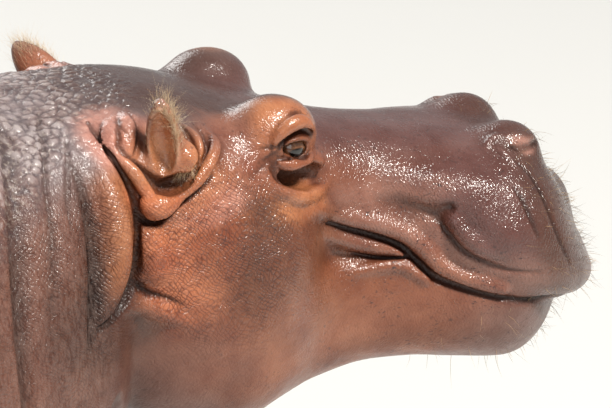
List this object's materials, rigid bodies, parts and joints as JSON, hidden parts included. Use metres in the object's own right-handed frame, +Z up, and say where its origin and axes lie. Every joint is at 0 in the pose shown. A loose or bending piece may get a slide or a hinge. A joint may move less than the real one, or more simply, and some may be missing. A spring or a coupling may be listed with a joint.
{
  "type": "hippopotamus",
  "caption": "Adult hippopotamus standing square on all fours with its mouth closed: a still, life-size museum model.",
  "frame": {"origin": "on the floor under the middle of the animal's bounding box", "axes": "+X toward the muzzle, +Y to the animal's left, +Z up"},
  "size_m": [3.3184, 1.0354, 1.4039],
  "materials": {
    "head_skin": "wet, creased bare skin, brown-purple above and orange-pink round the eye, ear and cheek",
    "body_skin": "wet, finely wrinkled bare skin, grey-brown above and pinker below",
    "ear_skin": "thin orange-brown skin with a fringe of pale hair",
    "nail": "dull dark horn, scuffed at the edge",
    "eye": "wet, dark brown"
  },
  "bodies": {
    "root": {"lower_jaw": "head_skin", "head": "head_skin", "neck": "body_skin", "trunk": "body_skin", "foreleg_left": "body_skin", "forefoot_left_nail_1": "nail", "forefoot_left_nail_2": "nail", "forefoot_left_nail_3": "nail", "forefoot_left_nail_4": "nail", "forefoot_left": "body_skin", "foreleg_right": "body_skin", "forefoot_right_nail_1": "nail", "forefoot_right_nail_2": "nail", "forefoot_right_nail_3": "nail", "forefoot_right_nail_4": "nail", "forefoot_right": "body_skin", "hindleg_left": "body_skin", "hindfoot_left_nail_1": "nail", "hindfoot_left_nail_2": "nail", "hindfoot_left_nail_3": "nail", "hindfoot_left_nail_4": "nail", "hindfoot_left": "body_skin", "hindleg_right": "body_skin", "hindfoot_right_nail_1": "nail", "hindfoot_right_nail_2": "nail", "hindfoot_right_nail_3": "nail", "hindfoot_right_nail_4": "nail", "hindfoot_right": "body_skin", "tail": "body_skin", "ear_left": "ear_skin", "eye_left": "eye", "ear_right": "ear_skin", "eye_right": "eye"}
  },
  "joints": []
}
